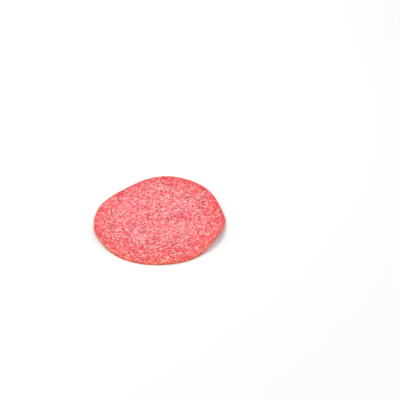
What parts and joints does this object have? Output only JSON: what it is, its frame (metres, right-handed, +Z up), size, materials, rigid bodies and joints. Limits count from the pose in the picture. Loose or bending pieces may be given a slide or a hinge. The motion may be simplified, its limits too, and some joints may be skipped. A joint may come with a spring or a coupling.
{
  "type": "cervelat sausage slice",
  "caption": "Thin oval slice of fine-grained cervelat sausage with a narrow smoked skin edge, lying flat at the front with its back rim gently raised.",
  "frame": {"origin": "on the table, under the middle of the slice's box", "axes": "+Z up, +Y away from the viewer along the oval's long axis to the raised back rim, +X to the viewer's right"},
  "size_m": [0.103, 0.117, 0.0085],
  "materials": {
    "meat": "moist satin, fine mosaic of pale fat and pink lean meat, brown-red skin edge"
  },
  "bodies": {
    "root": {"slice": "meat"}
  },
  "joints": []
}
